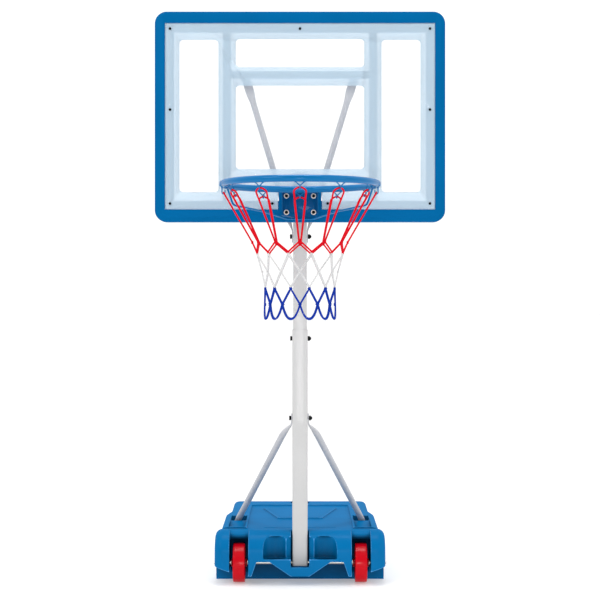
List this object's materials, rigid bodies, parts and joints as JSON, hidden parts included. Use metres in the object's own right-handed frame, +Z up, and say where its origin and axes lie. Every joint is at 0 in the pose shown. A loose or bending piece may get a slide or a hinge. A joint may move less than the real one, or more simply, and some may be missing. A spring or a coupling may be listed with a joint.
{
  "type": "poolside basketball hoop",
  "caption": "Freestanding poolside hoop: wheeled water-filled base, telescopic mast, framed clear board, tube rim with wire hooks and a striped cord net.",
  "frame": {"origin": "middle of the tank's flat underside, on the floor", "axes": "+Z up, +X to the right as seen from the pool, +Y away from the pool; the rim reaches out towards -Y"},
  "size_m": [0.9, 1.3512, 1.7795],
  "materials": {
    "tank": "satin",
    "cap": "satin",
    "seal": "matte",
    "zinc": "zinc plated",
    "wheel": "gloss",
    "pole": "powder coated, satin",
    "dark_steel": "blackened",
    "frame": "satin",
    "sheet": "clear with a frosted print",
    "rim": "gloss",
    "cord_red": "matte",
    "cord_white": "matte",
    "cord_blue": "matte"
  },
  "bodies": {
    "base": {"base_tank": "tank", "axle": "zinc", "star_washer_inner_right": "zinc", "star_washer_inner_left": "zinc", "star_washer_outer_right": "zinc", "star_washer_outer_left": "zinc", "lower_pole": "pole", "stay_right": "pole", "stay_left": "pole", "stay_screw_right": "zinc", "stay_screw_left": "zinc", "stay_bolt": "dark_steel", "stay_nut": "dark_steel"},
    "upper": {"bar_screw_right": "zinc", "bar_screw_left": "zinc", "upper_pole": "pole", "head_plate": "pole", "board_bar_right": "pole", "board_bar_left": "pole", "bar_bolt": "dark_steel", "bar_nut": "dark_steel", "board_frame": "frame", "board_panel": "sheet", "panel_screw_1": "dark_steel", "panel_screw_2": "dark_steel", "panel_screw_3": "dark_steel", "panel_screw_4": "dark_steel", "panel_screw_5": "dark_steel", "panel_screw_6": "dark_steel", "panel_screw_7": "dark_steel", "panel_screw_8": "dark_steel", "panel_screw_9": "dark_steel", "rim_ring": "rim", "rim_bracket": "rim", "rim_brace": "rim", "rim_bolt_1": "dark_steel", "rim_washer_1": "zinc", "rim_nut_1": "zinc", "rim_bolt_2": "dark_steel", "rim_washer_2": "zinc", "rim_nut_2": "zinc", "rim_bolt_3": "dark_steel", "rim_washer_3": "zinc", "rim_nut_3": "zinc", "rim_bolt_4": "dark_steel", "rim_washer_4": "zinc", "rim_nut_4": "zinc", "net_red": "cord_red", "net_white": "cord_white", "net_blue": "cord_blue"},
    "wheel_left": {"wheel_left": "wheel"},
    "wheel_right": {"wheel_right": "wheel"},
    "height_bolt": {"height_bolt": "dark_steel"},
    "height_nut": {"height_nut": "dark_steel"},
    "cap": {"fill_cap": "cap"},
    "cap_seal": {"fill_cap_seal": "seal"}
  },
  "joints": [
    {"name": "wheel_left_spin", "type": "hinge", "parent": "base", "child": "wheel_left", "pos_m": [-0.1905, -0.395, 0.0623], "axis": [1, 0, 0], "continuous": true},
    {"name": "wheel_right_spin", "type": "hinge", "parent": "base", "child": "wheel_right", "pos_m": [0.1905, -0.395, 0.0623], "axis": [1, 0, 0], "continuous": true},
    {"name": "height", "type": "slide", "parent": "base", "child": "upper", "axis": [0, 0, 1], "range_m": [-0.105, 0.105]},
    {"name": "height_bolt_draw", "type": "slide", "parent": "base", "child": "height_bolt", "axis": [-1, 0, 0], "range_m": [0, 0.062]},
    {"name": "height_nut_off", "type": "slide", "parent": "base", "child": "height_nut", "axis": [1, 0, 0], "range_m": [0, 0.014]},
    {"name": "cap_lift", "type": "slide", "parent": "base", "child": "cap_seal", "axis": [0, 0, 1], "range_m": [0, 0.018]},
    {"name": "cap_turn", "type": "hinge", "parent": "cap_seal", "child": "cap", "pos_m": [0, 0.285, 0.17], "axis": [0, 0, 1], "range_deg": [0, 1620]}
  ],
  "couplings": [
    {"joint": "cap_lift", "follows": "cap_turn", "m_per_rad": 0.000636}
  ]
}
